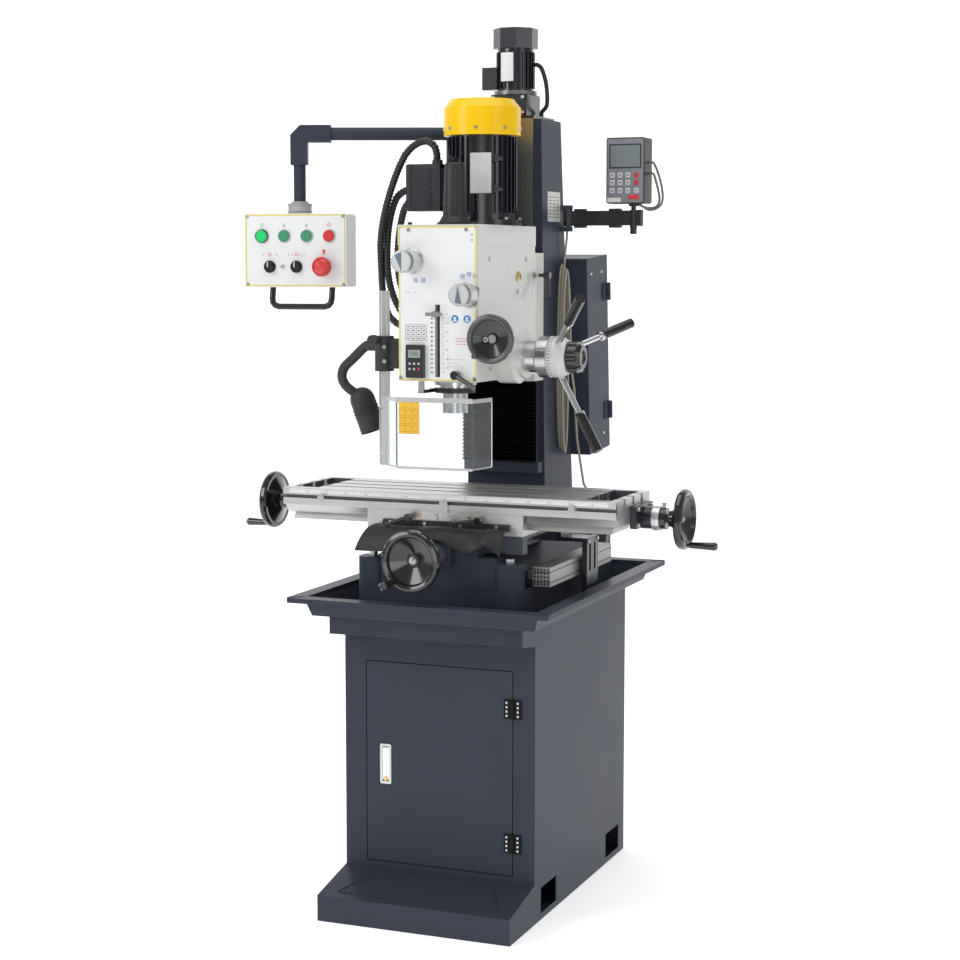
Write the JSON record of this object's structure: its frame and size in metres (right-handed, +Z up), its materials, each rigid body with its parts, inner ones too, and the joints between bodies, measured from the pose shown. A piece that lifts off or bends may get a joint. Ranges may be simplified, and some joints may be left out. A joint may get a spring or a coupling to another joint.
{
  "type": "milling machine",
  "caption": "Geared-head bench milling machine on a cabinet stand, with power-lifted head, quill feed, cross table, chip guard and swinging control panel.",
  "frame": {"origin": "on the floor under the middle of the cabinet", "axes": "+X to the operator's right, +Y to the back, +Z up"},
  "size_m": [1.2473, 1.0082, 2.052],
  "materials": {
    "paint": "gloss enamel",
    "navy": "satin paint",
    "cream": "gloss enamel",
    "white": "satin panel",
    "amber": "gloss enamel",
    "black": "gloss",
    "matte": "matte",
    "steel": "ground",
    "iron": "machined",
    "chrome": "bright",
    "alu": "extruded",
    "rubber": "matte",
    "clear": "clear",
    "green": "gloss",
    "red": "gloss",
    "cable": "matte"
  },
  "bodies": {
    "stand": {"cabinet_shell": "paint", "drip_tray": "paint", "machine_base": "paint", "hold_down_bolts": "steel", "encoder_scale": "alu", "column": "paint", "lift_drive": "navy", "electric_box": "paint", "way_bellows": "rubber", "control_cables": "cable"},
    "cabinet_door": {"cabinet_door": "paint"},
    "door_latch": {"latch_paddle": "chrome"},
    "electric_door": {"electric_box_door": "paint"},
    "lift_screw": {"lift_screw": "steel"},
    "carriage": {"head_carriage": "cream"},
    "carriage_lever": {"carriage_lever": "black"},
    "head": {"head_casting": "cream", "head_cover": "cream", "front_plate": "white", "spindle_motor": "navy", "fan_cover": "amber", "drawbar_cap": "matte", "feed_housing": "cream", "work_lamp": "matte", "motor_conduits": "rubber", "guard_bracket": "matte"},
    "quill": {"quill": "steel"},
    "spindle": {"spindle": "steel"},
    "feed_lever": {"feed_lever": "chrome"},
    "clutch_knob": {"clutch_knob": "matte"},
    "fine_feed_wheel": {"fine_feed_wheel": "black"},
    "speed_knob_left": {"speed_knob_left": "alu"},
    "speed_knob_right": {"speed_knob_right": "alu"},
    "quill_lock": {"quill_lock": "black"},
    "guard": {"guard_post": "alu", "guard_screen": "clear"},
    "saddle": {"saddle": "iron", "pointer_plate": "steel", "way_apron": "rubber", "encoder_head": "navy"},
    "saddle_lever_left": {"saddle_lever_left": "black"},
    "saddle_lever_right": {"saddle_lever_right": "black"},
    "front_handwheel": {"front_handwheel": "black"},
    "table": {"table": "iron", "screw_bearings": "navy"},
    "table_stop_left": {"table_stop_left": "steel"},
    "table_stop_right": {"table_stop_right": "steel"},
    "table_handwheels": {"table_handwheels": "black"},
    "panel_arm": {"panel_arm": "paint"},
    "control_box": {"control_box": "white"},
    "start_button": {"start_button": "green"},
    "forward_button": {"forward_button": "green"},
    "reverse_button": {"reverse_button": "green"},
    "stop_button": {"stop_button": "red"},
    "emergency_button": {"emergency_button": "red"},
    "selector_left": {"selector_left": "black"},
    "selector_right": {"selector_right": "black"},
    "dro_arm": {"dro_arm": "navy"},
    "dro_display": {"dro_display": "matte", "display_leads": "cable"}
  },
  "joints": [
    {"name": "cabinet_door_hinge", "type": "hinge", "parent": "stand", "child": "cabinet_door", "pos_m": [0.182, -0.329, 0.343], "axis": [0, 0, 1], "range_deg": [0, 110]},
    {"name": "latch_pull", "type": "hinge", "parent": "cabinet_door", "child": "door_latch", "pos_m": [-0.1325, -0.322, 0.3738], "axis": [-1, 0, 0], "range_deg": [0, 35], "stiffness_Nm_per_rad": 0.05, "springref_deg": -34.38},
    {"name": "electric_door_hinge", "type": "hinge", "parent": "stand", "child": "electric_door", "pos_m": [0.156, 0.42207, 1.26622], "axis": [0, 0.0699, -0.9976], "range_deg": [0, 110]},
    {"name": "head_lift", "type": "slide", "parent": "stand", "child": "carriage", "axis": [0, 0, 1], "range_m": [-0.01, 0.2], "deforming": ["way_bellows"]},
    {"name": "lift_screw_spin", "type": "hinge", "parent": "stand", "child": "lift_screw", "pos_m": [0, 0.116, 1.4], "axis": [0, 0, 1], "range_deg": [-900, 14600]},
    {"name": "head_tilt", "type": "hinge", "parent": "carriage", "child": "head", "pos_m": [0, 0.0386, 1.39], "axis": [0, -1, 0], "range_deg": [-15, 30]},
    {"name": "carriage_lever_turn", "type": "hinge", "parent": "carriage", "child": "carriage_lever", "pos_m": [0.108, 0.068, 1.461], "axis": [1, 0, 0], "range_deg": [0, 60]},
    {"name": "feed_lever_turn", "type": "hinge", "parent": "head", "child": "feed_lever", "pos_m": [0.15, -0.174, 1.279], "axis": [1, 0, 0], "range_deg": [0, 596]},
    {"name": "quill_feed", "type": "slide", "parent": "head", "child": "quill", "axis": [0, 0, -1], "range_m": [0, 0.131], "stiffness_N_per_m": 500, "springref_m": -0.4},
    {"name": "spindle_spin", "type": "hinge", "parent": "quill", "child": "spindle", "pos_m": [0, -0.223, 1.3], "axis": [0, 0, 1], "continuous": true},
    {"name": "clutch_pull", "type": "slide", "parent": "feed_lever", "child": "clutch_knob", "axis": [1, 0, 0], "range_m": [0, 0.008]},
    {"name": "fine_feed_turn", "type": "hinge", "parent": "head", "child": "fine_feed_wheel", "pos_m": [0.136, -0.34, 1.324], "axis": [0, -1, 0], "continuous": true},
    {"name": "speed_left_turn", "type": "hinge", "parent": "head", "child": "speed_knob_left", "pos_m": [-0.062, -0.35, 1.494], "axis": [0, -1, 0], "range_deg": [-60, 60]},
    {"name": "speed_right_turn", "type": "hinge", "parent": "head", "child": "speed_knob_right", "pos_m": [0.076, -0.35, 1.421], "axis": [0, -1, 0], "range_deg": [-60, 60]},
    {"name": "quill_lock_turn", "type": "hinge", "parent": "head", "child": "quill_lock", "pos_m": [0.05, -0.334, 1.242], "axis": [0, -1, 0], "range_deg": [-20, 20]},
    {"name": "guard_swing", "type": "hinge", "parent": "head", "child": "guard", "pos_m": [-0.161, -0.26, 1.3], "axis": [0, 0, 1], "range_deg": [-100, 0]},
    {"name": "front_handwheel_turn", "type": "hinge", "parent": "stand", "child": "front_handwheel", "pos_m": [0, -0.4, 0.84], "axis": [0, 1, 0], "range_deg": [-4520, 8120]},
    {"name": "saddle_feed", "type": "slide", "parent": "stand", "child": "saddle", "axis": [0, 1, 0], "range_m": [-0.05, 0.09], "deforming": ["way_apron"]},
    {"name": "saddle_lever_left_turn", "type": "hinge", "parent": "saddle", "child": "saddle_lever_left", "pos_m": [-0.08, -0.303, 0.915], "axis": [0, -1, 0], "range_deg": [-90, 0]},
    {"name": "saddle_lever_right_turn", "type": "hinge", "parent": "saddle", "child": "saddle_lever_right", "pos_m": [0.092, -0.303, 0.915], "axis": [0, -1, 0], "range_deg": [-90, 0]},
    {"name": "table_feed", "type": "slide", "parent": "saddle", "child": "table", "axis": [1, 0, 0], "range_m": [-0.2, 0.2]},
    {"name": "table_handwheel_turn", "type": "hinge", "parent": "table", "child": "table_handwheels", "pos_m": [0.5, -0.126, 0.916], "axis": [1, 0, 0], "range_deg": [-18020, 18020]},
    {"name": "stop_left_slide", "type": "slide", "parent": "table", "child": "table_stop_left", "axis": [1, 0, 0], "range_m": [-0.06, 0.15]},
    {"name": "stop_right_slide", "type": "slide", "parent": "table", "child": "table_stop_right", "axis": [1, 0, 0], "range_m": [-0.15, 0.06]},
    {"name": "panel_arm_swing", "type": "hinge", "parent": "stand", "child": "panel_arm", "pos_m": [-0.125, 0.174, 1.8], "axis": [0, 0, 1], "range_deg": [-60, 12]},
    {"name": "control_box_swing", "type": "hinge", "parent": "panel_arm", "child": "control_box", "pos_m": [-0.51553, 0.01622, 1.65], "axis": [0, 0, 1], "range_deg": [-40, 40]},
    {"name": "start_button_press", "type": "slide", "parent": "control_box", "child": "start_button", "axis": [-0.1392, 0.9903, 0], "range_m": [0, 0.003], "stiffness_N_per_m": 300, "springref_m": -0.002},
    {"name": "forward_button_press", "type": "slide", "parent": "control_box", "child": "forward_button", "axis": [-0.1392, 0.9903, 0], "range_m": [0, 0.003], "stiffness_N_per_m": 300, "springref_m": -0.002},
    {"name": "reverse_button_press", "type": "slide", "parent": "control_box", "child": "reverse_button", "axis": [-0.1392, 0.9903, 0], "range_m": [0, 0.003], "stiffness_N_per_m": 300, "springref_m": -0.002},
    {"name": "stop_button_press", "type": "slide", "parent": "control_box", "child": "stop_button", "axis": [-0.1392, 0.9903, 0], "range_m": [0, 0.003], "stiffness_N_per_m": 300, "springref_m": -0.002},
    {"name": "emergency_press", "type": "slide", "parent": "control_box", "child": "emergency_button", "axis": [-0.1392, 0.9903, 0], "range_m": [0, 0.006], "stiffness_N_per_m": 500, "springref_m": -0.002},
    {"name": "selector_left_turn", "type": "hinge", "parent": "control_box", "child": "selector_left", "pos_m": [-0.57532, -0.03258, 1.481], "axis": [0.1392, -0.9903, 0], "range_deg": [-45, 45]},
    {"name": "selector_right_turn", "type": "hinge", "parent": "control_box", "child": "selector_right", "pos_m": [-0.50699, -0.02298, 1.481], "axis": [0.1392, -0.9903, 0], "range_deg": [-45, 45]},
    {"name": "dro_arm_swing", "type": "hinge", "parent": "stand", "child": "dro_arm", "pos_m": [0.107, 0.24, 1.6], "axis": [0, 0, 1], "range_deg": [-45, 60]},
    {"name": "dro_display_turn", "type": "hinge", "parent": "dro_arm", "child": "dro_display", "pos_m": [0.283, 0.24, 1.63], "axis": [0, 0, 1], "range_deg": [-40, 40]}
  ],
  "couplings": [
    {"joint": "lift_screw_spin", "follows": "head_lift", "rad_per_m": 1256.6},
    {"joint": "quill_feed", "follows": "feed_lever_turn", "m_per_rad": 0.0125},
    {"joint": "front_handwheel_turn", "follows": "saddle_feed", "rad_per_m": 1570.8},
    {"joint": "table_handwheel_turn", "follows": "table_feed", "rad_per_m": 1570.8}
  ]
}
